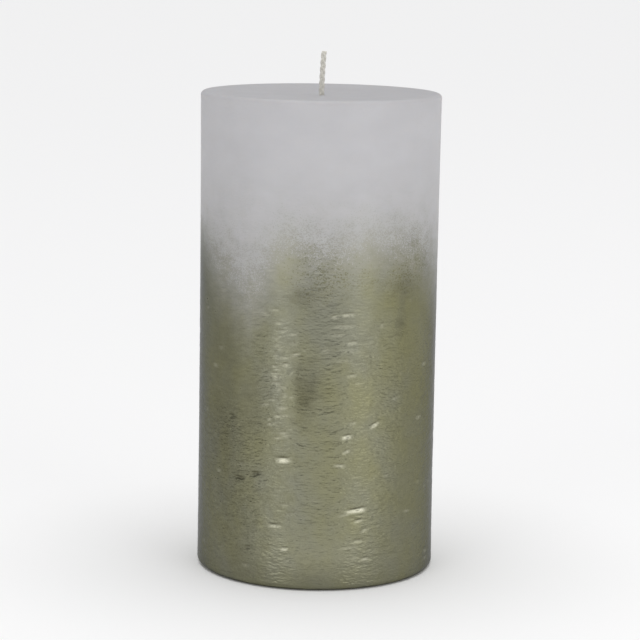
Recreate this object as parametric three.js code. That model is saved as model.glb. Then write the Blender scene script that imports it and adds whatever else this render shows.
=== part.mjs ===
// Rustic pillar candle for a unity ceremony: a pressed wax core, a dipped wax skin over its side
// and top, a three-strand plaited wick, and the metal sustainer that holds the wick in the base.
// Millimetres, +Z up. The origin is the middle of the face that the candle stands on.

import * as THREE from 'three';

// ---- Driving dimensions ----

const candleHeight = 140;
const endRadius = 35;
const waistDepth = 0.25; // how much slimmer the side is halfway up
const rimRound = 1.2;
const footRound = 1.8;
const dishDepth = 1.2; // how far the top sinks towards the wick
const skinThickness = 2;
const fitGap = 0.1; // between the core and the skin, and around the wick

const strandDiameter = 0.5;
const plaitHalfWidth = 0.5; // how far a strand swings to each side
const plaitHalfDepth = 0.36; // how far it swings to the front and back
const plaitPitch = 6;
const wickAboveRim = 11.8;
const wickTipLean = 0.55;
const leanPower = 1.6; // the wick leaves the wax upright and leans more towards its tip

const meniscusHeight = 0.2; // wax drawn up around the wick
const meniscusReach = 1.8;

const tabRadius = 10;
const tabThickness = 0.3;
const tabHeight = 0.5; // the tab's underside, above the face that the candle stands on
const neckLength = 6;
const neckWall = 0.25;
const neckFillet = 0.6;
const pocketClearance = 0.4;

// ---- Facets ----

const aroundBody = 64;
const aroundTab = 32;
const aroundStrand = 5;
const stepsPerPitch = 9;
const sideRows = 6;
const arcRows = 4;
const dishRows = 5;
const meniscusRows = 4;

// ---- Sizes that follow ----

const wickHalfWidth = plaitHalfWidth + strandDiameter / 2;
const boreRadius = wickHalfWidth + fitGap;
const neckOuterRadius = boreRadius + neckWall;
const pocketRadius = tabRadius + pocketClearance;
const pocketDepth = tabHeight + tabThickness + fitGap;
const counterboreRadius = neckOuterRadius + neckFillet + fitGap;
const counterboreTop = tabHeight + tabThickness + neckLength + pocketClearance;
const wickBottom = tabHeight;
const wickTop = candleHeight + wickAboveRim;

// ---- Profiles, as points of radius and height ----

/** The side's radius at a height: endRadius at both ends, and a shallow parabola between them. */
function sideRadius(height) {
  const fromMiddle = (2 * height) / candleHeight - 1;
  return endRadius - waistDepth * (1 - fromMiddle * fromMiddle);
}

/** The height of the dished top at a radius: a parabola that is lowest at the wick. */
function dishHeight(radius) {
  const share = radius / (endRadius - rimRound);
  return candleHeight - dishDepth * (1 - share * share);
}

/** How much the wax stands above the dish at a radius, drawn up around the wick. */
function meniscus(radius) {
  const share = Math.max(0, 1 - (radius - boreRadius) / meniscusReach);
  return meniscusHeight * share * share;
}

/** Points evenly spaced from one value to another, both ends counted. */
function steps(from, to, count) {
  return Array.from({ length: count + 1 }, (_, i) => from + ((to - from) * i) / count);
}

/** Points along an arc about a centre, between two angles. */
function arc(centreRadius, centreHeight, radius, fromAngle, toAngle) {
  return steps(fromAngle, toAngle, arcRows).map((angle) => new THREE.Vector2(
    centreRadius + radius * Math.cos(angle),
    centreHeight + radius * Math.sin(angle),
  ));
}

/** A profile turned about the candle's axis: a closed loop gives a closed ring. */
function turned(profile, around) {
  const geometry = new THREE.LatheGeometry([...profile, profile[0].clone()], around);
  return geometry.rotateX(Math.PI / 2);
}

// ---- Materials ----

const pressedWax = new THREE.MeshStandardMaterial({ color: 0xe6e4dc, roughness: 0.7, metalness: 0 });
const lacqueredWax = new THREE.MeshStandardMaterial({ color: 0xa8a488, roughness: 0.42, metalness: 0.5 });
const waxedCotton = new THREE.MeshStandardMaterial({ color: 0xc8c2b2, roughness: 0.8, metalness: 0 });
const tinnedSteel = new THREE.MeshStandardMaterial({ color: 0xb9bbbd, roughness: 0.35, metalness: 1 });

function named(name, geometry, material) {
  const mesh = new THREE.Mesh(geometry, material);
  mesh.name = name;
  return mesh;
}

// ---- Pressed core ----

/** The body under the skin, with the wick's bore and, in its base, the sustainer's pocket. */
function pressedCore() {
  const inset = skinThickness + fitGap;
  const cornerRadius = sideRadius(candleHeight) - inset;
  const cornerHeight = dishHeight(cornerRadius) - inset;
  const side = steps(0, cornerHeight, sideRows)
    .map((height) => new THREE.Vector2(sideRadius(height) - inset, height));
  const top = steps(cornerRadius, boreRadius, dishRows)
    .slice(1)
    .map((radius) => new THREE.Vector2(radius, dishHeight(radius) - inset));
  const bore = [
    new THREE.Vector2(boreRadius, counterboreTop),
    new THREE.Vector2(counterboreRadius, counterboreTop),
    new THREE.Vector2(counterboreRadius, pocketDepth),
    new THREE.Vector2(pocketRadius, pocketDepth),
    new THREE.Vector2(pocketRadius, 0),
  ];
  return turned([...side, ...top, ...bore], aroundBody);
}

// ---- Dipped skin ----

/** The skin over the side and the top, open at the base and pierced by the wick. */
function overdipShell() {
  const foot = arc(endRadius - footRound, footRound, footRound, -Math.PI / 2, 0);
  const side = steps(footRound, candleHeight - rimRound, sideRows)
    .slice(1, -1)
    .map((height) => new THREE.Vector2(sideRadius(height), height));
  const rim = arc(endRadius - rimRound, candleHeight - rimRound, rimRound, 0, Math.PI / 2);
  const meniscusEdge = boreRadius + meniscusReach;
  const topRadii = [
    ...steps(endRadius - rimRound, meniscusEdge, dishRows).slice(1),
    ...steps(meniscusEdge, boreRadius, meniscusRows).slice(1),
  ];
  const top = topRadii
    .map((radius) => new THREE.Vector2(radius, dishHeight(radius) + meniscus(radius)));
  const cornerRadius = sideRadius(candleHeight) - skinThickness;
  const cornerHeight = dishHeight(cornerRadius) - skinThickness;
  const ceiling = steps(boreRadius, cornerRadius, dishRows)
    .map((radius) => new THREE.Vector2(radius, dishHeight(radius) - skinThickness));
  const wall = steps(cornerHeight, 0, sideRows)
    .slice(1)
    .map((height) => new THREE.Vector2(sideRadius(height) - skinThickness, height));
  return turned([...foot, ...side, ...rim, ...top, ...ceiling, ...wall], aroundBody);
}

// ---- Wick ----

/** How far the wick's middle stands off the candle's axis at a height. */
function wickLean(height) {
  const share = Math.max(0, (height - candleHeight) / wickAboveRim);
  return wickTipLean * share ** leanPower;
}

/** One strand of a flat three-strand plait: it swings once from side to side for each pitch,
 *  and twice from front to back, so that it passes over and under the other two. */
class StrandPath extends THREE.Curve {
  constructor(phase) {
    super();
    this.phase = phase;
    this.arcLengthDivisions = 4000;
  }

  getPoint(share, target = new THREE.Vector3()) {
    const height = wickBottom + (wickTop - wickBottom) * share;
    const turn = (2 * Math.PI * height) / plaitPitch + this.phase;
    return target.set(
      wickLean(height) + plaitHalfWidth * Math.sin(turn),
      plaitHalfDepth * Math.sin(2 * turn),
      height,
    );
  }
}

/** A strand as a round section carried along its path. */
function wickStrand(phase) {
  const section = new THREE.Shape(steps(0, 2 * Math.PI, aroundStrand)
    .slice(0, -1)
    .map((angle) => new THREE.Vector2(
      (strandDiameter / 2) * Math.cos(angle),
      (strandDiameter / 2) * Math.sin(angle),
    )));
  return new THREE.ExtrudeGeometry(section, {
    steps: Math.round(((wickTop - wickBottom) / plaitPitch) * stepsPerPitch),
    extrudePath: new StrandPath(phase),
    bevelEnabled: false,
  });
}

// ---- Wick sustainer ----

/** A stamped disc with a neck that grips the wick's foot. */
function wickSustainer() {
  const tabTop = tabHeight + tabThickness;
  const fillet = arc(neckOuterRadius + neckFillet, tabTop + neckFillet, neckFillet, -Math.PI / 2, -Math.PI);
  const profile = [
    new THREE.Vector2(boreRadius, tabHeight),
    new THREE.Vector2(tabRadius, tabHeight),
    new THREE.Vector2(tabRadius, tabTop),
    ...fillet,
    new THREE.Vector2(neckOuterRadius, tabTop + neckLength),
    new THREE.Vector2(boreRadius, tabTop + neckLength),
  ];
  return turned(profile, aroundTab);
}

// ---- Assembly ----

const candle = new THREE.Group();
candle.add(named('pressed_core', pressedCore(), pressedWax));
candle.add(named('overdip_shell', overdipShell(), lacqueredWax));
candle.add(named('wick_sustainer', wickSustainer(), tinnedSteel));

const strandCount = 3;
for (let strand = 0; strand < strandCount; strand += 1) {
  const phase = (2 * Math.PI * strand) / strandCount;
  candle.add(named(`wick_strand_${strand + 1}`, wickStrand(phase), waxedCotton));
}

export default candle;
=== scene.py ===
# %% [markdown]
# # A rustic pillar candle
#
# This lesson gives a finished surface to a candle that a CAD model has already sized. The candle
# is a core of pressed wax, a skin of dipped wax, a plaited cotton wick and the small metal tab
# that holds the wick's foot. Its white skin fades into a champagne metallic lacquer.
#
# The CAD model is loaded first, as a fixed frame. Everything made here goes where its boxes say,
# so nothing has to be fitted afterwards. Blender works in metres, and so does the frame.

import math
from itertools import product

import bpy
import numpy as np
from mathutils import Matrix, Vector


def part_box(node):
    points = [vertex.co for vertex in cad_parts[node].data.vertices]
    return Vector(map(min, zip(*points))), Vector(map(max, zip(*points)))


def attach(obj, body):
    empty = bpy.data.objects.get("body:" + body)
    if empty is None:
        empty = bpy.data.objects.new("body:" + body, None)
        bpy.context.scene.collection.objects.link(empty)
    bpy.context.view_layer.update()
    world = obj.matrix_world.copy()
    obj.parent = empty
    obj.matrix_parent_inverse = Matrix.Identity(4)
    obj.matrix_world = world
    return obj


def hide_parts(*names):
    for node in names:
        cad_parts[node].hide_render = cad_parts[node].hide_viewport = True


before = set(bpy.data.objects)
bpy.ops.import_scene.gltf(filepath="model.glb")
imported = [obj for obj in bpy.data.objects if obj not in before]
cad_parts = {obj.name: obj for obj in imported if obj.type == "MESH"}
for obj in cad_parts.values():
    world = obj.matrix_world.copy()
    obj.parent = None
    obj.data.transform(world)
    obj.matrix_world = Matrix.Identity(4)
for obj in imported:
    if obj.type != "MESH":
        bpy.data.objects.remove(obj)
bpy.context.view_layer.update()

# %% [markdown]
# ## Sizes
#
# A candle is easier to describe in millimetres, so every size below is a number times MM. The
# large ones are read from the CAD boxes. The small ones, such as the rounding of an edge, are the
# same as in the CAD model, because a box doesn't show them. Only the fillet of the tab's neck is a
# little smaller, and the yarns differ for a reason that their own step gives.

# %% Sizes
MM = 0.001
skin_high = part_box("overdip_shell")[1]
core_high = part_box("pressed_core")[1]
tab_low, tab_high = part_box("wick_sustainer")
strand_low, strand_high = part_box("wick_strand_1")

HEIGHT = skin_high.z
RADIUS = skin_high.x
FIT_GAP = 0.1 * MM
SKIN = RADIUS - core_high.x - FIT_GAP
WAIST = 0.25 * MM
RIM_ROUND = 1.2 * MM
FOOT_ROUND = 1.8 * MM
DISH = 1.2 * MM
BORE = 0.85 * MM
MENISCUS_HEIGHT = 0.2 * MM
MENISCUS_REACH = 1.8 * MM
print(f"body {2 * RADIUS / MM:.1f} mm across, {HEIGHT / MM:.1f} mm high, skin {SKIN / MM:.2f} mm")
print(f"CAD yarn from {strand_low.z / MM:.1f} to {strand_high.z / MM:.1f} mm up")

# %% [markdown]
# ## The camera
#
# The candle is seen from a little above, by a long lens that stands well back, so that its sides
# stay nearly parallel. A camera could be aimed with a Track To constraint. Here its matrix is built
# from three turns, which keeps the pitch, the pan and the roll as three plain numbers. It looks
# along +Y and is rolled by one degree, as a camera held by hand often is.

# %% Camera
CAMERA_DISTANCE = 698 * MM
CAMERA_HEIGHT = 191.5 * MM
CAMERA_PITCH = math.radians(9.655)
CAMERA_PAN = math.radians(0.05)
CAMERA_ROLL = math.radians(0.935)
LENS = 135
SENSOR = 36
NEAREST_SEEN = 0.01


def make_camera():
    """The camera looks along its own -Z, so it is tipped up by a right angle less its pitch."""
    camera = bpy.data.objects.new("camera", bpy.data.cameras.new("camera"))
    bpy.context.collection.objects.link(camera)
    turn = Matrix.Rotation(-CAMERA_PAN, 4, "Z") @ Matrix.Rotation(math.pi / 2 - CAMERA_PITCH, 4, "X")
    roll = Matrix.Rotation(CAMERA_ROLL, 4, "Z")
    camera.matrix_world = Matrix.Translation((0, -CAMERA_DISTANCE, CAMERA_HEIGHT)) @ turn @ roll
    camera.data.lens = LENS
    camera.data.sensor_width = SENSOR
    camera.data.clip_start = NEAREST_SEEN
    bpy.context.scene.camera = camera
    return camera


camera = make_camera()
print("lens", camera.data.lens, "mm, at", [round(x, 3) for x in camera.location])

# %% [markdown]
# ## Shader maths as Python
#
# A material is a net of nodes. Written node by node it is long and hard to read, so two small
# classes do the wiring. `Wire` holds one output socket, and an expression on wires adds the Math
# nodes that work it out. `Finish` holds one material, and its `node` method adds any other node.

# %% Wires and finishes


class Wire:
    """One output socket, which can be used in arithmetic with numbers and other wires."""

    def __init__(self, finish, socket):
        self.finish = finish
        self.socket = socket

    def maths(self, operation, first, second, clamp=False):
        """One Math node. With `clamp` its result is kept from 0 to 1."""
        settings = {"operation": operation, "use_clamp": clamp}
        return self.finish.node("ShaderNodeMath", settings, {0: first, 1: second})

    def __add__(self, other):
        return self.maths("ADD", self, other)

    def __sub__(self, other):
        return self.maths("SUBTRACT", self, other)

    def __rsub__(self, other):
        return self.maths("SUBTRACT", other, self)

    def __mul__(self, other):
        return self.maths("MULTIPLY", self, other)

    __radd__ = __add__
    __rmul__ = __mul__

    def largest(self, other):
        return self.maths("MAXIMUM", self, other)

    def clamped(self):
        return self.maths("ADD", self, 0.0, clamp=True)


class Finish:
    """A material that is being wired up. `node` adds any node: its settings first, then the
    values or wires of its sockets, each named by its place, its identifier or its name."""

    def __init__(self, name):
        self.material = bpy.data.materials.new(name)
        self.material.use_nodes = True
        self.tree = self.material.node_tree
        self.surface = self.tree.nodes["Principled BSDF"]

    @staticmethod
    def find(sockets, name):
        """The socket with that place, identifier or name."""
        if isinstance(name, int):
            return sockets[name]
        return next(s for s in sockets if name in (s.identifier, s.name))

    def feed(self, node, inputs):
        """Links each wire to its socket, and types each plain value into its own."""
        for name, value in inputs.items():
            socket = self.find(node.inputs, name)
            if isinstance(value, Wire):
                self.tree.links.new(value.socket, socket)
            else:
                socket.default_value = value

    def node(self, kind, settings=None, inputs=None, output=0):
        made = self.tree.nodes.new(kind)
        for name, value in (settings or {}).items():
            setattr(made, name, value)
        self.feed(made, inputs or {})
        return Wire(self, self.find(made.outputs, output))

    def place(self):
        """Where the shaded point is on the piece, in metres."""
        return self.node("ShaderNodeTexCoord", output="Object")

    def stretched(self, place, cell):
        """The same place, counted in cells that are `cell` metres long, wide and high."""
        scale = tuple(1 / size for size in cell)
        return self.node("ShaderNodeMapping", {}, {"Vector": place, "Scale": scale})

    def noise(self, place, cell, detail=2.0):
        """Cloudy noise from 0 to 1, about 0.5, whose lumps are one cell across."""
        inputs = {"Vector": self.stretched(place, cell), "Scale": 1.0, "Detail": detail}
        return self.node("ShaderNodeTexNoise", {}, inputs, "Fac")

    def painted(self, name):
        """A number that the mesh carries at each point."""
        return self.node("ShaderNodeAttribute", {"attribute_name": name}, {}, "Fac")

    def blend(self, share, first, second):
        """The first colour where share is 0, and the second where it is 1."""
        inputs = {"Factor_Float": share, "A_Color": first, "B_Color": second}
        settings = {"data_type": "RGBA", "clamp_factor": True}
        return self.node("ShaderNodeMix", settings, inputs, "Result_Color")

    def bump(self, height, distance, under=None):
        """A normal tilted by a height from 0 to 1 that stands for `distance` metres."""
        inputs = {"Height": height, "Distance": distance, "Strength": 1.0}
        if under is not None:
            inputs["Normal"] = under
        return self.node("ShaderNodeBump", {}, inputs, "Normal")

    def coat(self, **inputs):
        """Feeds the surface's own sockets: coat(Base_Color=...) feeds Base Color."""
        self.feed(self.surface, {name.replace("_", " "): value for name, value in inputs.items()})
        return self.material


print("shader helpers ready")

# %% [markdown]
# ## Surfaces from numpy
#
# Every piece of this candle is a surface that goes round something: the skin goes round the
# candle's axis, and a yarn goes round its own path. So one function is enough. It takes rows of
# points, each row going once round, and joins each row to the next with quads. Where the rows
# don't close on themselves, each end is closed by a fan about one more point. A drawn curve with a
# Screw modifier could make a plain turned shape too, but here every point is moved by its own
# amount before the mesh is made.

# %% Rows of points into a mesh


def mesh_of_rows(name, rows, closed, corner_uv=False):
    """rows has the shape (rows, points around, 3). With `closed` the last row joins the first,
    and without it both ends are fans about the middle of their row. Faces point outwards when
    the points go round to the left and the rows go up."""
    row_count, around = rows.shape[:2]
    index = np.arange(row_count * around).reshape(row_count, around)
    after = np.roll(index, -1, axis=0) if closed else index[1:]
    here = index if closed else index[:-1]
    quads = np.stack([here, np.roll(here, -1, 1), np.roll(after, -1, 1), after], -1).reshape(-1, 4)
    points = rows.reshape(-1, 3)
    faces = quads.tolist()
    if not closed:
        first, last = len(points), len(points) + 1
        points = np.vstack([points, rows[0].mean(0), rows[-1].mean(0)])
        foot = np.stack([np.roll(index[0], -1), index[0], np.full(around, first)], -1)
        head = np.stack([index[-1], np.roll(index[-1], -1), np.full(around, last)], -1)
        faces += foot.tolist() + head.tolist()
    mesh = bpy.data.meshes.new(name)
    mesh.from_pydata(points.tolist(), [], faces)
    mesh.shade_smooth()
    if corner_uv:
        write_uv(mesh, row_count, around, closed)
    return mesh


def write_uv(mesh, row_count, around, closed):
    """u goes from 0 to 1 round each row, and v counts the rows from 0 to 1. The fans take 0."""
    joined = row_count if closed else row_count - 1
    u = np.arange(around) / around
    v = np.arange(joined) / joined
    low_u, low_v = np.meshgrid(u, v)
    high_u, high_v = low_u + 1 / around, low_v + 1 / joined
    corners = np.stack([low_u, low_v, high_u, low_v, high_u, high_v, low_u, high_v], -1)
    layer = mesh.uv_layers.new(name="round_and_along")
    values = np.zeros(len(layer.data) * 2)
    values[: corners.size] = corners.ravel()
    layer.data.foreach_set("uv", values)


def paint(mesh, name, values):
    """Gives the mesh one number for each of its points, for a material to read."""
    attribute = mesh.attributes.new(name, "FLOAT", "POINT")
    attribute.data.foreach_set("value", np.asarray(values, np.float32).ravel())


def place_piece(name, mesh, material, node):
    """Puts the finished mesh into the scene as the piece that stands for one CAD node."""
    mesh.materials.append(material)
    piece = bpy.data.objects.new(name, mesh)
    bpy.context.collection.objects.link(piece)
    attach(piece, "root")
    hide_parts(node)
    triangles = sum(len(face.vertices) - 2 for face in mesh.polygons)
    print(f"{name}: {triangles} triangles, stands for {node}")
    return piece


print("mesh helpers ready")

# %% [markdown]
# ## Random relief that is the same on every run
#
# Wax that cools after a dip wrinkles and pits. The wrinkles are random, but they have a size and
# a direction. A lattice of seeded random numbers gives that: the numbers are blended smoothly
# from one lattice corner to the next, and a lattice whose cells are wide and low gives wrinkles
# that run round the candle. The lattice fills space, so it has no seam at the back. A Displace
# modifier with a texture could move the points too. Numpy was chosen because the wrinkles are bent,
# weakened in places and cut by chips before they move anything.

# %% Smooth random values
LATTICE = 96


def lattice_noise(points, cell, seed):
    """Smooth random values from -1 to 1. Each corner of a lattice has a random number, and a
    point takes the eight around it, weighted along each axis by 3t^2 - 2t^3, where t is how far
    it lies across its cell. `cell` is the cell's size along x, y and z."""
    table = np.random.default_rng(seed).uniform(-1, 1, (LATTICE,) * 3)
    scaled = points / np.asarray(cell)
    base = np.floor(scaled).astype(int)
    across = scaled - base
    across = across * across * (3 - 2 * across)
    total = np.zeros(points.shape[:-1])
    for corner in product((0, 1), repeat=3):
        weight = np.where(np.array(corner) == 1, across, 1 - across).prod(-1)
        x, y, z = np.moveaxis((base + corner) % LATTICE, -1, 0)
        total += weight * table[x, y, z]
    return total


def smooth_step(low, high, value):
    """0 up to low, 1 from high, and 3t^2 - 2t^3 between them."""
    t = np.clip((value - low) / (high - low), 0, 1)
    return t * t * (3 - 2 * t)


print("one lattice holds", LATTICE**3, "random numbers")

# %% [markdown]
# ## The shape of the dipped skin
#
# The skin is a cup turned upside down over the core. Its section is one closed loop: up the
# outside, over the rim, across the dished top to the wick's hole, and back along the inside. Most
# of the rows go to the lower part of the outside, because that is where the wax is rough. The
# section could be drawn as a curve. Formulas were chosen because they are the CAD model's own, so
# the skin still fits over the core.

# %% The skin's section
LOWER_ROWS = 292
UPPER_ROWS = 34
ROUGH_UP_TO = 108 * MM
ARC_ROWS = 7
TOP_ROWS = 26
MENISCUS_ROWS = 8
INNER_ROWS = 8


def side_radius(height):
    """A shallow parabola: the side is slimmest halfway up."""
    return RADIUS - WAIST * (1 - (2 * height / HEIGHT - 1) ** 2)


def dish_height(radius):
    """A parabola that is lowest at the wick and reaches the rim's height at the rim."""
    return HEIGHT - DISH * (1 - (radius / (RADIUS - RIM_ROUND)) ** 2)


def meniscus(radius):
    """Wax drawn up around the wick: the square of how near the hole the point is."""
    return MENISCUS_HEIGHT * np.clip(1 - (radius - BORE) / MENISCUS_REACH, 0, 1) ** 2


def quarter_arc(centre_radius, centre_height, radius, from_angle):
    """A quarter of a circle, from an angle to a right angle past it."""
    angles = np.linspace(from_angle, from_angle + math.pi / 2, ARC_ROWS)
    return centre_radius + radius * np.cos(angles), centre_height + radius * np.sin(angles)


def skin_section():
    """The section's radii and heights, in order: foot, side, rim, top, meniscus, then inside."""
    foot = quarter_arc(RADIUS - FOOT_ROUND, FOOT_ROUND, FOOT_ROUND, -math.pi / 2)
    lower_z = np.linspace(FOOT_ROUND, ROUGH_UP_TO, LOWER_ROWS)[1:]
    upper_z = np.linspace(ROUGH_UP_TO, HEIGHT - RIM_ROUND, UPPER_ROWS)[1:-1]
    side_z = np.concatenate([lower_z, upper_z])
    rim = quarter_arc(RADIUS - RIM_ROUND, HEIGHT - RIM_ROUND, RIM_ROUND, 0)
    edge = BORE + MENISCUS_REACH
    top_r = np.linspace(RADIUS - RIM_ROUND, edge, TOP_ROWS)[1:]
    climb_r = np.linspace(edge, BORE, MENISCUS_ROWS)[1:]
    over_r = np.concatenate([top_r, climb_r])
    corner = side_radius(HEIGHT) - SKIN
    ceiling_r = np.linspace(BORE, corner, INNER_ROWS)
    wall_z = np.linspace(dish_height(corner) - SKIN, 0, INNER_ROWS)[1:]
    radii = [foot[0], side_radius(side_z), rim[0], over_r, ceiling_r, side_radius(wall_z) - SKIN]
    heights = [foot[1], side_z, rim[1], dish_height(over_r) + meniscus(over_r)]
    heights += [dish_height(ceiling_r) - SKIN, wall_z]
    outside = sum(len(part) for part in heights[:4])
    return np.concatenate(radii), np.concatenate(heights), outside


section_r, section_z, outside_rows = skin_section()
print(len(section_r), "rows,", outside_rows, "of them outside")

# %% [markdown]
# ## Chips in the skin
#
# Where the cold wax has chipped, a small step is left: a slope that faces up and out, under
# a short steep wall. The slopes catch the light as bright flecks, and the finish also paints a
# highlight on each slope and paints shade on each wall. The larger ones at the front are listed
# one by one. The rest are scattered, more of them low down, and a column of very small ones runs
# up the left of the front. Chips could be sculpted, or cut out with Boolean modifiers. A formula
# suits more than two hundred of them better, and it also tells the finish where to paint the
# highlight on each slope and the shade on each wall.

# %% Chips
# Each: degrees round from the front, height, length, slope's height, depth (all mm), tilt, and
# how bright a highlight is painted on the slope.
FRONT_CHIPS = [
    (-15.4, 37.8, 3.8, 1.3, 0.36, 0.00, 1.0),
    (14.6, 44.8, 3.0, 1.1, 0.30, 0.12, 0.85),
    (28.5, 47.8, 2.8, 1.1, 0.28, 0.45, 0.6),
    (17.5, 48.8, 1.8, 0.8, 0.18, 0.10, 0.25),
    (14.5, 40.6, 1.9, 0.9, 0.22, 0.40, 0.5),
    (11.2, 36.6, 3.6, 0.9, 0.22, -0.12, 0.45),
    (19.3, 23.2, 6.4, 1.0, 0.30, 0.03, 0.85),
    (22.3, 23.5, 2.4, 1.1, 0.30, 0.00, 1.0),
    (20.8, 20.2, 2.8, 0.9, 0.24, 0.20, 0.35),
    (-19.2, 18.5, 4.0, 0.9, 0.26, 0.00, 0.4),
    (-14.3, 11.9, 1.4, 1.0, 0.28, 0.00, 0.85),
    (23.8, 17.3, 2.6, 0.9, 0.22, 0.50, 0.25),
    (20.6, 14.3, 3.4, 0.8, 0.20, 0.10, 0.2),
    (24.6, 8.9, 2.6, 0.8, 0.20, 0.00, 0.4),
    (7.9, 79.4, 2.2, 0.9, 0.22, 0.15, 0.55),
    (13.9, 79.9, 4.2, 0.8, 0.22, 0.05, 0.45),
    (16.2, 71.9, 3.2, 0.8, 0.20, 0.05, 0.35),
    (-10.3, 68.4, 2.4, 0.9, 0.20, 0.20, 0.35),
    (-14.9, 65.3, 1.8, 1.0, 0.22, 0.00, 0.35),
    (12.0, 76.6, 6.5, 0.9, 0.10, 0.06, 0.25),
    (9.6, 74.2, 5.0, 0.8, 0.09, -0.06, 0.25),
    (13.6, 69.8, 7.5, 0.9, 0.10, 0.08, 0.1),
    (11.4, 66.8, 6.0, 0.8, 0.09, 0.03, 0.15),
    (14.8, 22.4, 5.0, 0.8, 0.10, 0.22, 0.25),
    (16.0, 12.6, 6.0, 0.8, 0.10, 0.08, 0.15),
    (-38.8, 30.9, 4.4, 0.9, 0.34, -0.05, 0.0),
    (-29.5, 33.0, 3.2, 0.9, 0.34, 0.08, 0.0),
    (-33.2, 11.0, 2.8, 0.9, 0.28, 0.15, 0.0),
    (-44.2, 48.6, 2.4, 0.9, 0.30, 0.00, 0.0),
]
SCATTERED_CHIPS = 150
LADDER_CHIPS = 44
CHIP_SEED = 11
LADDER_AT = -18
LADDER_SPREAD = 3.4
LADDER_FOOT = 44
LADDER_TOP = 77


def scattered_chips():
    """Random chips, mostly short and shallow. The square of a random share keeps them low."""
    draw = np.random.default_rng(CHIP_SEED)
    angle = draw.uniform(-180, 180, SCATTERED_CHIPS)
    height = 4 + 92 * draw.uniform(0, 1, SCATTERED_CHIPS) ** 1.5
    length = draw.uniform(1.2, 3.4, SCATTERED_CHIPS)
    slope = draw.uniform(0.7, 1.1, SCATTERED_CHIPS)
    depth = draw.uniform(0.05, 0.15, SCATTERED_CHIPS)
    tilt = draw.normal(0, 0.12, SCATTERED_CHIPS)
    # How bright a highlight is painted on each slope.
    painted_glint = draw.uniform(0, 0.3, SCATTERED_CHIPS)
    return np.stack([angle, height, length, slope, depth, tilt, painted_glint], -1)


def ladder_chips():
    """A column of short level steps, one above another, at the left of the front."""
    draw = np.random.default_rng(CHIP_SEED + 1)
    angle = draw.normal(LADDER_AT, LADDER_SPREAD, LADDER_CHIPS)
    height = np.linspace(LADDER_FOOT, LADDER_TOP, LADDER_CHIPS) + draw.normal(0, 0.3, LADDER_CHIPS)
    length = draw.uniform(0.9, 3.0, LADDER_CHIPS)
    slope = draw.uniform(0.6, 0.9, LADDER_CHIPS)
    depth = draw.uniform(0.05, 0.12, LADDER_CHIPS)
    tilt = draw.normal(0, 0.05, LADDER_CHIPS)
    # How bright a highlight is painted on each slope.
    painted_glint = draw.uniform(0.04, 0.30, LADDER_CHIPS)
    return np.stack([angle, height, length, slope, depth, tilt, painted_glint], -1)


def chip_fields(theta, height, chips):
    """How deep the chips cut at each point, how bright a highlight is painted there on a slope, and
    how much shade is painted there on a steep wall, both from 0 to 1. Across its height a chip
    deepens in a straight slope and then comes back over a third of that. Along its length it fades
    as (1 - u^2)^2. The height in a chip's row is that of the middle of its slope."""
    depth, slope_glints, wall_shade = (np.zeros(theta.shape) for _ in range(3))
    for angle, middle, length, slope, deepest, tilt, painted_glint in chips:
        turn = (theta - math.radians(angle) + math.pi) % (2 * math.pi) - math.pi
        along = turn * RADIUS / MM
        up = (height / MM - middle - along * tilt) / slope - 0.5
        rise = np.clip(np.minimum(up + 1, 1 - 3 * up), 0, 1)
        ends = np.clip(1 - (2 * along / (length * 1.3)) ** 2, 0, 1) ** 2
        clear = ends * min(1, deepest / 0.3)
        depth = np.maximum(depth, deepest * MM * rise * ends)
        # The painted highlight on each slope, and below it the painted shade on each wall.
        slope_glints = np.maximum(slope_glints, ends * painted_glint * np.exp(-(((up + 0.5) / 0.5) ** 4)))
        # Painted shade on each chip's steep wall, deeper chips darker.
        wall_shade = np.maximum(wall_shade, clear * np.exp(-(((up - 0.25) / 0.3) ** 2)))
    return depth, slope_glints, wall_shade


chips = np.vstack([FRONT_CHIPS, scattered_chips(), ladder_chips()])
print(len(chips), "chips")

# %% [markdown]
# ## Relief over the whole skin
#
# The relief adds up broad swells, wrinkles that run round the candle, and the chips. Wrinkles come
# in patches, and they are fainter in the white wax at the top. A few listed places are made calmer
# or rougher. All of it could be a bump in the material, but then the candle's outline would stay
# straight and its mesh smooth. So what the mesh is fine enough to hold is real, and only what is
# finer is left to the bump.

# %% Relief
AROUND = 240
FULL_FOLDS_AT = 42 * MM
FAINT_FOLDS_AT = 104 * MM
FAINT_FOLDS = 0.22
# How high each kind of relief stands, in mm.
BEND_HIGH = 1.2
SWELL_HIGH = 0.06
LONG_FOLD_HIGH = 0.075
SHORT_FOLD_HIGH = 0.050
# How much of the relief is taken away on the top face.
CALM_TOP = 0.6
# Each: degrees round from the front, height, how far the place reaches to each side and up and
# down (all mm), and how much more or less the wax is wrinkled there.
WRINKLED_PLACES = [
    (-50, 65, 15, 22, -0.8), (-48, 46, 9, 7, 0.4), (-19, 60, 4, 14, 0.7), (-34, 53, 5, 9, -0.45),
    (0, 42, 6, 45, -0.5), (4, 80, 8, 8, 0.35), (35, 56, 10, 26, 0.4), (62, 68, 8, 20, 0.6),
    (100, 50, 14, 20, -0.5), (160, 64, 6, 14, 0.6), (-150, 40, 14, 18, -0.5), (-100, 62, 7, 16, 0.4),
]


def angle_bump(theta, centre, width):
    """A bell, exp(-(turn / width)^2), of the turn from a centre, both in degrees."""
    turn = (np.degrees(theta) - centre + 180) % 360 - 180
    return np.exp(-((turn / width) ** 2))


def patch_sum(theta, height, patches):
    """The sum of bells about the middle of each patch, each times the patch's own amount."""
    total = np.zeros(np.broadcast(theta, height).shape)
    for centre, middle, reach_round, reach_up, amount in patches:
        across = angle_bump(theta, centre, math.degrees(reach_round * MM / RADIUS))
        total += amount * across * np.exp(-(((height / MM - middle) / reach_up) ** 2))
    return total


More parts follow.
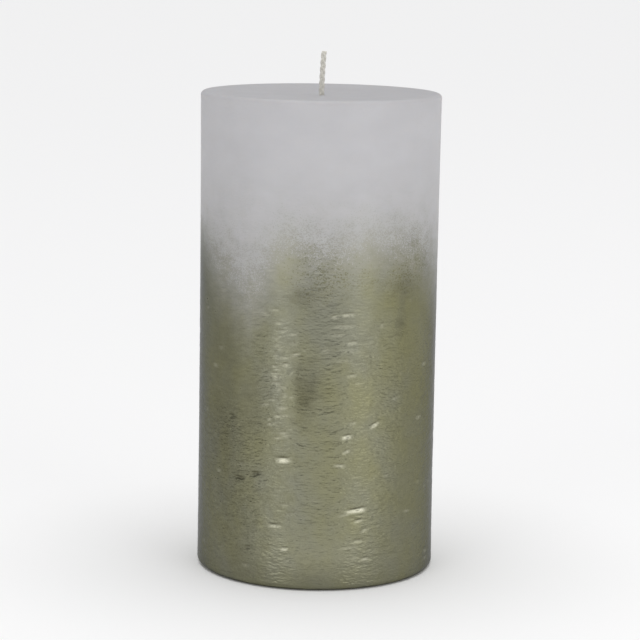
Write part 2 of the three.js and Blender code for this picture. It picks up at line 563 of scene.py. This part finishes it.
def fold_strength(theta, height):
    """How strong the wrinkles are: full in the lower third, faint in the white wax, and changed
    in a few places."""
    by_height = FAINT_FOLDS + (1 - FAINT_FOLDS) * smooth_step(FAINT_FOLDS_AT, FULL_FOLDS_AT, height)
    return by_height * (1 + patch_sum(theta, height, WRINKLED_PLACES))


def relief(points, theta, height):
    """How far each point stands out along its normal: swells, plus wrinkles of two sizes whose
    height lines are bent by another noise, less the chips."""
    bend = lattice_noise(points, (9 * MM, 9 * MM, 6 * MM), 1) * BEND_HIGH * MM
    bent = points + bend[..., None] * np.array([0, 0, 1])
    swell = SWELL_HIGH * lattice_noise(points, (20 * MM, 20 * MM, 24 * MM), 2)
    patches = smooth_step(-0.35, 0.55, lattice_noise(points, (12 * MM, 12 * MM, 15 * MM), 3))
    long_folds = LONG_FOLD_HIGH * lattice_noise(bent, (4.4 * MM, 4.4 * MM, 1.9 * MM), 4)
    short_folds = SHORT_FOLD_HIGH * lattice_noise(bent, (2 * MM, 2 * MM, 1.1 * MM), 5)
    folds = (long_folds + short_folds) * (0.35 + 0.65 * patches) * fold_strength(theta, height)
    return (swell + folds) * MM - chip_fields(theta, height, chips)[0]


def skin_rows():
    """The section turned about the axis, then moved along its own normals by the relief. The
    inside, the rim of the hole and the line on the table stay as they are."""
    theta = np.linspace(-math.pi, math.pi, AROUND, endpoint=False)[None, :]
    radius, height = section_r[:, None], section_z[:, None]
    flat = np.stack([radius * np.sin(theta), -radius * np.cos(theta), height + 0 * theta], -1)
    along_r, along_z = np.gradient(section_r), np.gradient(section_z)
    length = np.hypot(along_r, along_z)
    out_r, out_z = (along_z / length)[:, None], (-along_r / length)[:, None]
    normal = np.stack([out_r * np.sin(theta), -out_r * np.cos(theta), out_z + 0 * theta], -1)
    outside = (np.arange(len(section_r)) < outside_rows)[:, None]
    keep = smooth_step(0, 1.5 * MM, height) * smooth_step(BORE, 6 * MM, radius) * outside
    on_top = smooth_step(HEIGHT - 2 * RIM_ROUND, HEIGHT - 0.2 * RIM_ROUND, height)
    keep = keep * (1 - CALM_TOP * on_top)
    move = relief(flat, theta + 0 * height, height + 0 * theta) * keep
    return flat + normal * move[..., None], theta, move


rows, theta_line, moved = skin_rows()
print(f"relief from {moved.min() / MM:.2f} to {moved.max() / MM:.2f} mm")

# %% [markdown]
# ## Where the lacquer lies
#
# The lacquer is sprayed from below, so it is solid at the foot and thins out upwards. Its edge
# isn't level: it rises in tongues and leaves a bay of bare wax. The mesh carries six numbers at
# each point: how much lacquer there is; how thick and dark it lies, which also holds painted shade
# on chip walls, over a dent at the front and down the left side, and painted highlight in two
# strips; how warm its colour is; how many coarse drops landed there; how bright a highlight is
# painted, on a chip's slope, with painted light near the foot and one place of paler lacquer; and
# how wrinkled the wax is. The material turns them into droplets far finer than the mesh. The
# lacquer could be painted on an image. Numbers on the mesh were chosen because they need no image
# and no seam.

# %% Lacquer cover
FADE_TOP = 114.5 * MM
FADE_FOOT = 82 * MM
VEIL = 0.23
VEIL_TOP = 130 * MM
VEIL_FOOT = 93 * MM
# Each: degrees round from the front, width in degrees, and how many mm the top and the foot of
# the fade are raised there (a bay is below zero).
TONGUES = [
    (-34, 12, -8.5, -18), (-51, 11, -3, -9), (-61, 10, -2.5, -2), (-80, 13, -5, 5),
    (-18, 7, 2.5, 2), (2, 11, -1, -5), (24, 9, 1, 0.5), (45, 10, -0.5, -1), (80, 19, -4.5, -17),
    (118, 13, -7, -13), (150, 12, 4, 3), (-176, 14, -3, -8), (-128, 16, -6, -14),
    (-105, 10, 3, 2),
]
# Each: degrees round from the front, height, how far the patch reaches to each side and up and
# down (all mm), and how much darker the lacquer is there. Some are darker lacquer. The five at
# about 58 mm near the front paint the shade of a shallow dent, the three on the left from -42 to
# -52 degrees paint shade down that side, and the two below zero paint highlight strips.
DARK_SHADE_AND_HIGHLIGHT_PATCHES = [
    (-9, 59, 1.2, 6.5, 0.42), (-6.6, 58, 1.3, 9, 0.4), (-4.2, 57, 1.2, 7, 0.42), (-1.8, 60, 1.3, 8, 0.3),
    (1.5, 58, 2.4, 7, 0.2), (-14, 58, 1.5, 10, -0.25),
    (-6, 85, 4.5, 2.5, 0.5), (45, 87, 5, 5, 0.4), (43, 76, 2.2, 4, 0.4), (-50, 72, 7, 14, 0.1),
    (-42, 40, 15, 42, 0.36), (-52, 47, 7, 6, 0.12), (-30, 54, 5, 9, 0.14), (24, 66, 2.5, 8, 0.15),
    (29, 38, 1.6, 12, -0.2), (91, 63, 3.5, 13, 0.35), (98, 54, 3, 6, 0.25), (138, 77, 4, 6, 0.3),
    (143, 68, 2.2, 8, 0.3), (-152, 55, 3, 11, 0.35), (-146, 47, 4, 5, 0.25), (-112, 79, 6, 3.5, 0.35),
    (-107, 72, 2.5, 7, 0.3), (170, 30, 12, 30, 0.25),
]
# Where the lacquer is painted paler: the same five numbers. Low at the front and the back it is
# painted light that lifts the foot; at 62 degrees it is paler lacquer.
PALE_PLACES = [(5, 7, 30, 9, 0.085), (180, 7, 40, 9, 0.06), (62, 72, 7, 12, 0.05)]
# Where the lacquer is warmer and yellower (above zero) or cooler and greyer (below zero).
WARM_PLACES = [
    (50, 76, 14, 18, 0.9), (66, 45, 9, 45, 0.8), (-2, 80, 16, 12, -1.0), (20, 74, 8, 10, -0.5),
    (-18, 62, 6, 12, -0.5), (-17, 26, 7, 15, -0.9), (-55, 55, 12, 16, 0.4),
    (130, 70, 14, 20, 0.9), (-140, 66, 14, 18, 0.8), (175, 62, 14, 22, -0.7),
    (-95, 40, 12, 20, -0.5),
]
# Where coarse drops landed: the same five numbers, the last one for how many there are.
COARSE_PLACES = [
    (-3, 93, 13, 14, 0.57), (48, 90, 12, 11, 0.55), (58, 99, 9, 9, 0.45), (15, 86, 12, 9, 0.4),
    (-68, 92, 8, 9, 0.25), (110, 88, 12, 12, 0.9), (-165, 90, 11, 12, 0.9), (-100, 96, 9, 9, 0.7),
    (150, 92, 9, 8, 0.4),
]


def lacquer_cover(theta, height):
    """1 below the foot of the fade and 0 above its top, both moved by the tongues. A thin veil
    reaches higher."""
    top, foot = FADE_TOP, FADE_FOOT
    for at, wide, top_rise, foot_rise in TONGUES:
        bell = angle_bump(theta, at, wide) * MM
        top, foot = top + top_rise * bell, foot + foot_rise * bell
    solid = smooth_step(top, foot, height)
    return solid + VEIL * (1 - solid) * smooth_step(VEIL_TOP, VEIL_FOOT, height)


skin_mesh = mesh_of_rows("rustic_skin", rows, closed=True)
height_grid = rows[..., 2]
theta_grid = theta_line + 0 * height_grid
slope_glints, wall_shade = chip_fields(theta_grid, height_grid, chips)[1:]
paint(skin_mesh, "lacquer_cover", lacquer_cover(theta_grid, height_grid))
# Darker lacquer in places, with painted shade on chip walls, over a dent and down the left side, and
# painted highlight where a patch is below zero.
paint(skin_mesh, "lacquer_dark_shade_and_highlight", patch_sum(theta_grid, height_grid, DARK_SHADE_AND_HIGHLIGHT_PATCHES) + wall_shade)
paint(skin_mesh, "lacquer_warm", patch_sum(theta_grid, height_grid, WARM_PLACES))
# Painted highlight on the chips' slopes, plus painted light near the foot and one paler place.
pale = patch_sum(theta_grid, height_grid, PALE_PLACES)
paint(skin_mesh, "painted_glint_and_pale", slope_glints + pale)
paint(skin_mesh, "coarse_spray", patch_sum(theta_grid, height_grid, COARSE_PLACES))
paint(skin_mesh, "fold_strength", fold_strength(theta_grid, height_grid))
print(f"lacquer covers {lacquer_cover(theta_grid, height_grid).mean():.2f} of the skin's rows")

# %% [markdown]
# ## Wax that turns to metal
#
# Bare paraffin wax is nearly white, soft and a little see-through, so its surface scatters light
# below itself. The lacquer is a film of metal flakes. Two materials joined by a Mix Shader could
# show them, but they would need every pattern twice. One Principled surface is enough for both:
# where the lacquer lies, the base colour turns to champagne, Metallic goes up and the roughness
# goes down. The droplets are Voronoi cells. Each cell has its own random number, and it fills in
# once the cover has passed that number.

# %% Rustic wax finish
WAX = (0.501, 0.496, 0.508, 1)
WAX_SHADE = (0.476, 0.471, 0.483, 1)
LACQUER_COOL = (0.183, 0.1835, 0.137, 1)
LACQUER_WARM = (0.190, 0.185, 0.101, 1)
# Thick dark lacquer, and also the colour of painted shade in chip walls, over a dent and on the left
# side.
LACQUER_THICK_AND_SHADE = (0.080, 0.076, 0.046, 1)
# The colour of painted highlight on chip slopes and of painted light near the foot.
LACQUER_GLINT_AND_PALE = (0.56, 0.55, 0.43, 1)
COARSE_DROP = 0.42 * MM
FINE_DROP = 0.3 * MM
LACQUER_METAL = 0.92
WAX_ROUGH = 0.52
LACQUER_SMOOTHER = 0.22
GRAIN_HIGH = 0.010 * MM
FINE_FOLD_HIGH = 0.21 * MM
SKIN_TINT = (0.47, 0.48, 0.54, 1)
WAX_GLOW = 0.35
WAX_GLOW_REACH = 2.5 * MM
# How far red, green and blue light go inside wax, beside each other.
WAX_GLOW_COLOURS = (1.0, 0.85, 0.7)


def droplets(finish, place, cover, cell):
    """Voronoi cells filled where the cover has passed the cell's own random number."""
    inputs = {"Vector": finish.stretched(place, (cell,) * 3), "Scale": 1.0}
    distance = finish.node("ShaderNodeTexVoronoi", {"feature": "F1"}, inputs, "Distance")
    colour = Wire(finish, distance.socket.node.outputs["Color"])
    chance = finish.node("ShaderNodeSeparateColor", {}, {"Color": colour}, "Red")
    return (((cover * 1.9 - chance) * 1.4 - distance) * 4 + 0.5).clamped()


def rustic_finish():
    """Wax blended to lacquer by the cover, whose edge is broken up by clouds and by two sizes of
    drops. The lacquer is cool or warm and thick and dark in places. Painted shade darkens the chips'
    walls, a dent at the front and the left side; painted highlight brightens the chips' slopes and
    two strips, and painted light lifts the foot."""
    finish = Finish("rustic_wax")
    place = finish.place()
    cover = finish.painted("lacquer_cover")
    dark = finish.painted("lacquer_dark_shade_and_highlight")
    coarse = finish.painted("coarse_spray")

    cloud = finish.noise(place, (4 * MM, 4 * MM, 3.2 * MM), 3.0)
    thin = cover * (1 - cover) * 4
    drift = (cover + (cloud - 0.5) * thin * 0.38).clamped()
    specks = droplets(finish, place, coarse * (0.25 + cloud * 0.4), COARSE_DROP)
    fine_drops = droplets(finish, place, drift, FINE_DROP)
    spray = drift + (fine_drops - drift) * (coarse * 0.16 + 0.15)
    lacquer = (spray + specks * 0.16).clamped()

    wax_cloud = finish.noise(place, (11 * MM, 11 * MM, 7 * MM), 3.0)
    wax = finish.blend((wax_cloud * 2.4 - 0.7).clamped(), WAX_SHADE, WAX)
    tint = finish.noise(place, (7 * MM, 7 * MM, 10 * MM)) * 1.4 - 0.2
    warmth = (tint + finish.painted("lacquer_warm") * 0.5).clamped()
    metal = finish.blend(warmth, LACQUER_COOL, LACQUER_WARM)
    streak = finish.noise(place, (3 * MM, 3 * MM, 0.9 * MM))
    flake = finish.noise(place, (0.45 * MM, 0.45 * MM, 0.4 * MM), 1.0)
    rough = finish.painted("fold_strength")
    mottle = ((streak - 0.53) * 0.6 + (flake - 0.5) * 0.7) * (rough * 0.5 + 0.55)
    # Thick lacquer, with painted shade and painted highlight from the patches and the chip walls.
    thick_and_shade = (dark * (cloud * 1.0 + 0.5) + mottle + specks * 0.13).clamped()
    metal = finish.blend(thick_and_shade, metal, LACQUER_THICK_AND_SHADE)
    # Painted highlight on chip slopes, and painted light near the foot.
    glint_and_pale = finish.painted("painted_glint_and_pale")
    metal = finish.blend(glint_and_pale, metal, LACQUER_GLINT_AND_PALE)

    folds = finish.noise(place, (1.6 * MM, 1.6 * MM, 0.7 * MM), 1.0)
    grain = finish.noise(place, (0.22 * MM,) * 3, 1.0)
    normal = finish.bump(grain * (cover * 0.8 + 0.2), GRAIN_HIGH)
    normal = finish.bump(folds * rough, FINE_FOLD_HIGH, normal)
    return finish.coat(
        Base_Color=finish.blend(lacquer, wax, metal),
        Metallic=lacquer * LACQUER_METAL,
        Roughness=WAX_ROUGH - lacquer * LACQUER_SMOOTHER + (streak - 0.5) * 0.12 + glint_and_pale * 0.06,
        Normal=normal,
        Specular_Tint=SKIN_TINT,
        Subsurface_Weight=WAX_GLOW,
        Subsurface_Radius=WAX_GLOW_COLOURS,
        Subsurface_Scale=WAX_GLOW_REACH,
    )


place_piece("rustic_skin", skin_mesh, rustic_finish(), "overdip_shell")

# %% [markdown]
# ## The wick's yarns
#
# The wick is a flat plait of three yarns. Each yarn swings from side to side once for each pitch,
# and from front to back twice, which is what takes it over and under the other two. Each yarn is
# itself spun from three plies, so its section has three lobes that turn as they go along. Only
# the last few millimetres show, so the rows are close together there and further apart inside.
#
# The CAD model's strands are thin and round, and keep clear of each other. Real yarns soaked in
# wax are squeezed together, so here they are fatter and the plait is flatter. A curve with a bevel
# could make a round yarn, but not lobes that turn along it, so each yarn is rows of points.

# %% Yarns
PLAIT_HALF_WIDTH = 0.42 * MM
PLAIT_HALF_DEPTH = 0.16 * MM
PLAIT_PITCH = 6 * MM
YARN_RADIUS = 0.40 * MM
TIP_LEAN = 0.55 * MM
LEAN_POWER = 1.6
WICK_BOTTOM = 0.5 * MM
WICK_TOP = HEIGHT + 11.8 * MM
PLY_TURN = 1.6 * MM
PLIES = 3
YARN_AROUND = 18
YARNS = 3
LOBE_DEPTH = 0.05
SHOWN_FROM = HEIGHT - 3 * MM
HIDDEN_STEP = 0.5 * MM
SHOWN_STEP = 0.09 * MM
END_ROUND = 0.2 * MM


def wick_lean(height):
    """The wick stands upright in the wax, and above it leans more and more to +X."""
    share = np.clip((height - HEIGHT) / (WICK_TOP - HEIGHT), 0, 1)
    return TIP_LEAN * share**LEAN_POWER


def yarn_path(phase, height):
    """x = lean + A sin(turn), y = B sin(2 turn), with turn = 2 pi height / pitch + phase."""
    turn = 2 * math.pi * height / PLAIT_PITCH + phase
    x = wick_lean(height) + PLAIT_HALF_WIDTH * np.sin(turn)
    return np.stack([x, PLAIT_HALF_DEPTH * np.sin(2 * turn), height], -1)


def carried(path, radius, around):
    """A section carried along a path. `radius` gives the section's radius for each row and each
    angle, and each row stands square to the path."""
    tangent = np.gradient(path, axis=0)
    tangent /= np.linalg.norm(tangent, axis=-1, keepdims=True)
    side = np.cross(tangent, (0, 1, 0))
    side /= np.linalg.norm(side, axis=-1, keepdims=True)
    front = np.cross(tangent, side)
    angle = np.linspace(0, 2 * math.pi, around, endpoint=False)
    ring = np.cos(angle)[None, :, None] * side[:, None] + np.sin(angle)[None, :, None] * front[:, None]
    return path[:, None] + ring * radius[..., None]


def yarn_rows(phase):
    """Three lobes, r (1 - d (1 - |cos(1.5 (angle - twist))|)) with d = LOBE_DEPTH, that turn once
    each PLY_TURN. Both ends are rounded like a quarter of a circle."""
    hidden = np.arange(WICK_BOTTOM, SHOWN_FROM, HIDDEN_STEP)
    shown = np.arange(SHOWN_FROM, WICK_TOP, SHOWN_STEP)
    height = np.concatenate([hidden, shown])
    angle = np.linspace(0, 2 * math.pi, YARN_AROUND, endpoint=False)[None, :]
    twist = 2 * math.pi * height[:, None] / PLY_TURN
    lobe = 1 - LOBE_DEPTH * (1 - np.abs(np.cos(PLIES / 2 * (angle - twist))))
    ends = np.minimum(height - height[0], height[-1] - height) / END_ROUND
    rounded = np.sqrt(1 - (1 - np.clip(ends, 0.02, 1)) ** 2)[:, None]
    return carried(yarn_path(phase, height), YARN_RADIUS * lobe * rounded, YARN_AROUND)


first_yarn = yarn_rows(0.0)
print(f"{YARNS} yarns of {len(first_yarn)} rows, up to {first_yarn[..., 2].max() / MM:.1f} mm")

# %% [markdown]
# ## Waxed cotton
#
# The cotton is cream and dull, and the wax that it has soaked up makes it a little darker and
# smoother. Its fine fibres are a noise stretched round each yarn, on the yarn's own UV map. They
# could be real hair strands, but each would be far thinner than what shows at this size.

# %% Waxed cotton finish
COTTON = (0.76, 0.745, 0.68, 1)
COTTON_DEEP = (0.70, 0.68, 0.61, 1)
# How many cells of the noise there are round a yarn and along it.
FIBRES = (14, 900, 1)
FIBRE_HIGH = 0.015 * MM
COTTON_GLOW = 0.15
COTTON_GLOW_REACH = 0.3 * MM


def cotton_finish():
    """Two creams, mixed by the fibres and by how much wax has soaked in."""
    finish = Finish("waxed_cotton")
    uv = finish.node("ShaderNodeUVMap", {"uv_map": "round_and_along"}, {}, "UV")
    inputs = {"Vector": uv, "Location": (0, 0, 0), "Scale": FIBRES}
    along = finish.node("ShaderNodeMapping", {}, inputs)
    fibre = finish.node("ShaderNodeTexNoise", {}, {"Vector": along, "Scale": 1.0, "Detail": 2.0}, "Fac")
    soak = finish.noise(finish.place(), (1.2 * MM, 1.2 * MM, 2.0 * MM))
    shade = (fibre * 1.6 + soak * 1.2 - 0.9).clamped()
    return finish.coat(
        Base_Color=finish.blend(shade, COTTON_DEEP, COTTON),
        Roughness=0.75 - soak * 0.25,
        Normal=finish.bump(fibre, FIBRE_HIGH),
        Subsurface_Weight=COTTON_GLOW,
        Subsurface_Radius=(1.0, 1.0, 1.0),
        Subsurface_Scale=COTTON_GLOW_REACH,
    )


cotton = cotton_finish()
for yarn in range(YARNS):
    spun = yarn_rows(2 * math.pi * yarn / YARNS)
    yarn_mesh = mesh_of_rows(f"yarn_{yarn + 1}", spun, closed=False, corner_uv=True)
    place_piece(f"yarn_{yarn + 1}", yarn_mesh, cotton, f"wick_strand_{yarn + 1}")

# %% [markdown]
# ## The pressed core
#
# The core is wax powder pressed in a mould. Only its base shows, when the candle is picked up: a
# ring of flattened granules with fine gaps between them, around the pocket that holds the tab.
# The gaps could be a Voronoi bump. They are real grooves here, so that they also show in the
# mesh, and they are worked out from the two nearest points of a scattered grid.

# %% Pressed core
CORE_BASE_ROWS = 64
GRANULE = 1.5 * MM
GROOVE = 0.09 * MM
GROOVE_WIDE = 0.22
POCKET_ROOM = 0.4 * MM
POCKET = tab_high.x + POCKET_ROOM
# The tab is 0.3 mm thick, and a fit gap is above it.
POCKET_DEPTH = tab_low.z + 0.4 * MM
TAB_TOP = tab_high.z
NECK_ROOM = 1.8 * MM
GRANULE_SEED = 21
GRANULE_DULL = (0.70, 0.69, 0.65, 1)
GRANULE_WHITE = (0.82, 0.81, 0.78, 1)


def granule_edges(points, cell, seed):
    """How far inside its granule each point of the base is, from 0 on an edge to about 1: the
    distance to the second nearest scattered point less that to the nearest, in cells."""
    jitter = np.random.default_rng(seed).uniform(0.1, 0.9, (LATTICE, LATTICE, 2))
    scaled = points[..., :2] / cell
    base = np.floor(scaled).astype(int)
    nearest = np.full(points.shape[:-1], 9.0)
    second = nearest.copy()
    for step in product((-1, 0, 1), repeat=2):
        corner = base + step
        spot = corner + jitter[corner[..., 0] % LATTICE, corner[..., 1] % LATTICE]
        gap = np.linalg.norm(scaled - spot, axis=-1)
        second = np.minimum(second, np.maximum(nearest, gap))
        nearest = np.minimum(nearest, gap)
    return second - nearest


def core_rows():
    """A closed section like the skin's. The base is cut by the grooves between granules."""
    inset = SKIN + FIT_GAP
    corner = side_radius(HEIGHT) - inset
    base_r = np.linspace(POCKET, side_radius(0) - inset, CORE_BASE_ROWS)
    side_z = np.linspace(0, dish_height(corner) - inset, INNER_ROWS)[1:]
    top_r = np.linspace(corner, BORE, INNER_ROWS)[1:]
    well_r = np.array([BORE, NECK_ROOM, NECK_ROOM, POCKET])
    well_z = np.array([TAB_TOP + POCKET_ROOM, TAB_TOP + POCKET_ROOM, POCKET_DEPTH, POCKET_DEPTH])
    radius = np.concatenate([base_r, side_radius(side_z) - inset, top_r, well_r])
    height = np.concatenate([0 * base_r, side_z, dish_height(top_r) - inset, well_z])
    theta = np.linspace(-math.pi, math.pi, AROUND, endpoint=False)[None, :]
    r, z = radius[:, None], height[:, None] + 0 * theta
    points = np.stack([r * np.sin(theta), -r * np.cos(theta), z], -1)
    groove = GROOVE * (1 - smooth_step(0.0, GROOVE_WIDE, granule_edges(points, GRANULE, GRANULE_SEED)))
    points[:CORE_BASE_ROWS, :, 2] += groove[:CORE_BASE_ROWS]
    return points


def pressed_finish():
    """White granules, each a slightly different white, with a fine grain."""
    finish = Finish("pressed_wax")
    place = finish.place()
    inputs = {"Vector": finish.stretched(place, (GRANULE,) * 3), "Scale": 1.0}
    cell = finish.node("ShaderNodeTexVoronoi", {"feature": "F1"}, inputs, "Color")
    chance = finish.node("ShaderNodeSeparateColor", {}, {"Color": cell}, "Red")
    grain = finish.noise(place, (0.4 * MM,) * 3)
    return finish.coat(
        Base_Color=finish.blend(chance * 0.7 + grain * 0.3, GRANULE_DULL, GRANULE_WHITE),
        Roughness=0.62 + grain * 0.2,
        Normal=finish.bump(grain, 0.03 * MM),
        Subsurface_Weight=0.3,
        Subsurface_Radius=WAX_GLOW_COLOURS,
        Subsurface_Scale=2 * MM,
    )


core_mesh = mesh_of_rows("granule_core", core_rows(), closed=True)
place_piece("granule_core", core_mesh, pressed_finish(), "pressed_core")

# %% [markdown]
# ## The wick's tab
#
# The tab is stamped from thin tinned steel: a disc with a raised rib that stiffens it, and a neck
# that is pinched on four sides to grip the wick. It could be modelled from a cylinder with loop
# cuts. Stamping gives it the same section all round, so here it is one section carried round the
# axis, and the pinches are a dip in the neck's radius at four angles.

# %% Wick tab
TAB_AROUND = 96
TAB_THICK = 0.3 * MM
NECK_OUT = 1.1 * MM
PINCH = 0.07 * MM
RIB_AT = 6.8 * MM
RIB_WIDE = 1.1 * MM
RIB_HIGH = 0.09 * MM
TAB_EDGE = 0.06 * MM
NECK_FILLET = 0.5 * MM
PINCH_FADE = 1.2 * MM
TIN_DULL = (0.62, 0.63, 0.645, 1)
TIN_BRIGHT = (0.72, 0.73, 0.74, 1)
SPANGLE = 2.2 * MM


def tab_rows():
    """The disc's underside out to its edge, its upper side back in, up the neck and down its bore.
    The rib lifts both sides by a flat-topped bell, exp(-u^4), about RIB_AT, and the neck is
    pinched in by cos(2 theta)^8."""
    low, edge = tab_low.z, tab_high.x
    out_r = np.linspace(BORE, edge - TAB_EDGE, 40)
    back_r = np.linspace(edge - TAB_EDGE, NECK_OUT + NECK_FILLET, 38)
    angles = np.linspace(-math.pi / 2, -math.pi, 7)[1:]
    fillet_r = NECK_OUT + NECK_FILLET + NECK_FILLET * np.cos(angles)
    fillet_z = low + TAB_THICK + NECK_FILLET + NECK_FILLET * np.sin(angles)
    neck_z = np.linspace(fillet_z[-1], tab_high.z, 16)[1:]
    bore_z = np.linspace(tab_high.z, low, 18)[:-1]
    lift = [RIB_HIGH * np.exp(-(((r - RIB_AT) / RIB_WIDE) ** 4)) for r in (out_r, back_r)]
    radius = [out_r, [edge, edge], back_r, fillet_r, NECK_OUT + 0 * neck_z, BORE + 0 * bore_z]
    rim_z = [low + TAB_EDGE, low + TAB_THICK - TAB_EDGE]
    height = [low + lift[0], rim_z, low + TAB_THICK + lift[1], fillet_z, neck_z, bore_z]
    radius, height = np.concatenate(radius)[:, None], np.concatenate(height)[:, None]
    theta = np.linspace(-math.pi, math.pi, TAB_AROUND, endpoint=False)[None, :]
    above_foot = smooth_step(low + PINCH_FADE, low + 2 * PINCH_FADE, height)
    below_top = smooth_step(tab_high.z - 0.2 * MM, tab_high.z - PINCH_FADE, height)
    outer = smooth_step(BORE, NECK_OUT, radius)
    radius = radius - PINCH * above_foot * below_top * outer * np.cos(2 * theta) ** 8
    return np.stack([radius * np.sin(theta), -radius * np.cos(theta), height + 0 * theta], -1)


def tin_finish():
    """Tin over steel: bright, with a faint spangle and fine rolling lines."""
    finish = Finish("tinned_steel")
    place = finish.place()
    inputs = {"Vector": finish.stretched(place, (SPANGLE,) * 3), "Scale": 1.0}
    cell = finish.node("ShaderNodeTexVoronoi", {"feature": "F1"}, inputs, "Color")
    spangle = finish.node("ShaderNodeSeparateColor", {}, {"Color": cell}, "Red")
    rolled = finish.noise(place, (6 * MM, 0.15 * MM, 6 * MM))
    return finish.coat(
        Base_Color=finish.blend(spangle, TIN_DULL, TIN_BRIGHT),
        Metallic=1.0,
        Roughness=0.26 + spangle * 0.08 + rolled * 0.12,
        Normal=finish.bump(rolled, 0.006 * MM),
    )


tab_mesh = mesh_of_rows("wick_tab", tab_rows(), closed=True)
place_piece("wick_tab", tab_mesh, tin_finish(), "wick_sustainer")

# %% [markdown]
# ## Floor and light
#
# Metal shows what is around it more than what shines on it. So the room is an even pale grey,
# which keeps the wax nearly flat and the lacquer calm. Two soft boxes stand in front, left and
# right, a little above the middle of the candle. They draw two soft upright bands on the lacquer,
# and the chips that face them flash. A weak wide panel lifts the right edge, a card on the floor
# fills in the front, and a broad sun overhead lights the top. A picture of a real studio could
# light it all at once, but then no single light could be turned up or down.

# %% Floor and light
ROOM = (0.985, 0.985, 1.0, 1)
ROOM_STRENGTH = 0.294
AIM = Vector((0, 0, 0.5 * HEIGHT))
FLOOR_HALF = 8.0
FLOOR_DROP = 0.02 * MM
FLOOR_GLOW = 0.05
CARD_LIFT = 2 * MM
SUN_BRIGHTNESS = 0.64
SUN_WIDTH = math.radians(60)


def make_floor():
    """A wide pale floor, which gives off a little light of its own so that it stays near white.
    It lies a hair below the candle, so that no two faces share one plane."""
    half, low = FLOOR_HALF, -FLOOR_DROP
    corners = [(-half, -half, low), (half, -half, low), (half, half, low), (-half, half, low)]
    mesh = bpy.data.meshes.new("floor")
    mesh.from_pydata(corners, [], [(0, 1, 2, 3)])
    finish = Finish("pale_floor")
    material = finish.coat(Base_Color=(0.92, 0.92, 0.92, 1), Roughness=0.9)
    finish.feed(finish.surface, {"Emission Color": (1, 1, 1, 1), "Emission Strength": FLOOR_GLOW})
    mesh.materials.append(material)
    floor = bpy.data.objects.new("floor", mesh)
    bpy.context.collection.objects.link(floor)


def light_panel(name, size, brightness):
    """A flat light that the camera doesn't see. Its watts are its brightness times pi times its
    area."""
    light = bpy.data.lights.new(name, "AREA")
    light.shape = "RECTANGLE"
    light.size, light.size_y = size
    light.energy = brightness * math.pi * size[0] * size[1]
    holder = bpy.data.objects.new(name, light)
    holder.visible_camera = False
    bpy.context.collection.objects.link(holder)
    print(f"{name}: {light.energy:.2f} W")
    return holder


def soft_light(name, azimuth, elevation, distance, size, brightness):
    """A panel at that azimuth from the camera's side (plus is right), aimed at the candle."""
    turn, rise = math.radians(azimuth), math.radians(elevation)
    away = Vector((math.sin(turn) * math.cos(rise), -math.cos(turn) * math.cos(rise), math.sin(rise)))
    holder = light_panel(name, size, brightness)
    holder.location = AIM + away * distance
    holder.rotation_euler = away.to_track_quat("Z", "Y").to_euler()


def floor_card(name, middle, size, brightness):
    """A panel flat on the floor in front, facing up, which fills in the lower front."""
    holder = light_panel(name, size, brightness)
    holder.location = (0, middle, CARD_LIFT)
    holder.rotation_euler = (math.pi, 0, 0)


def overhead_light():
    """A wide sun straight overhead, which lights the top and the floor."""
    sun = bpy.data.lights.new("overhead", "SUN")
    sun.energy = SUN_BRIGHTNESS * math.pi
    sun.angle = SUN_WIDTH
    bpy.context.collection.objects.link(bpy.data.objects.new("overhead", sun))


def make_room():
    """An even pale room all round, and plain colours with no film look."""
    world = bpy.data.worlds.new("room")
    world.use_nodes = True
    world.node_tree.nodes["Background"].inputs["Color"].default_value = ROOM
    world.node_tree.nodes["Background"].inputs["Strength"].default_value = ROOM_STRENGTH
    bpy.context.scene.world = world
    bpy.context.scene.view_settings.view_transform = "Standard"


make_floor()
make_room()
soft_light("left_box", -34, 10, 1.1, (0.42, 0.48), 2.28)
soft_light("right_box", 41, 10, 1.1, (0.55, 0.48), 2.13)
soft_light("right_panel", 96, 6, 1.1, (1.5, 0.6), 0.45)
floor_card("front_card", -0.62, (1.0, 1.14), 0.44)
overhead_light()
